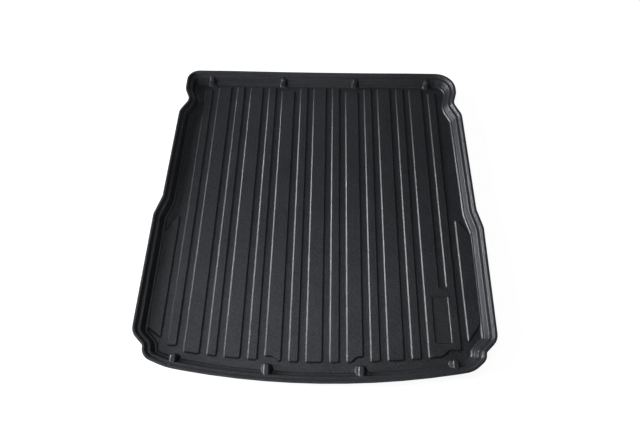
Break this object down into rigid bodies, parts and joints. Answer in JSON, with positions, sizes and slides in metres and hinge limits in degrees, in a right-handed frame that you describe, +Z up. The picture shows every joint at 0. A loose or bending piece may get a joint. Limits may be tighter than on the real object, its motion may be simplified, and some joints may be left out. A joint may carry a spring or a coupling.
{
  "type": "car boot liner",
  "caption": "One-piece moulded plastic boot tray: shallow stepped rim, notched sides, bowed near edge, stiffening flutes and long raised floor pads.",
  "frame": {"origin": "on the ground under the middle of the liner's outline, level with the flat undersides between the pads", "axes": "+Z up, +Y towards the seat end, X across the car"},
  "size_m": [1.0749, 1.177, 0.038],
  "materials": {
    "liner_plastic": "fine leather grain, low sheen"
  },
  "bodies": {
    "root": {"boot_liner": "liner_plastic"}
  },
  "joints": []
}
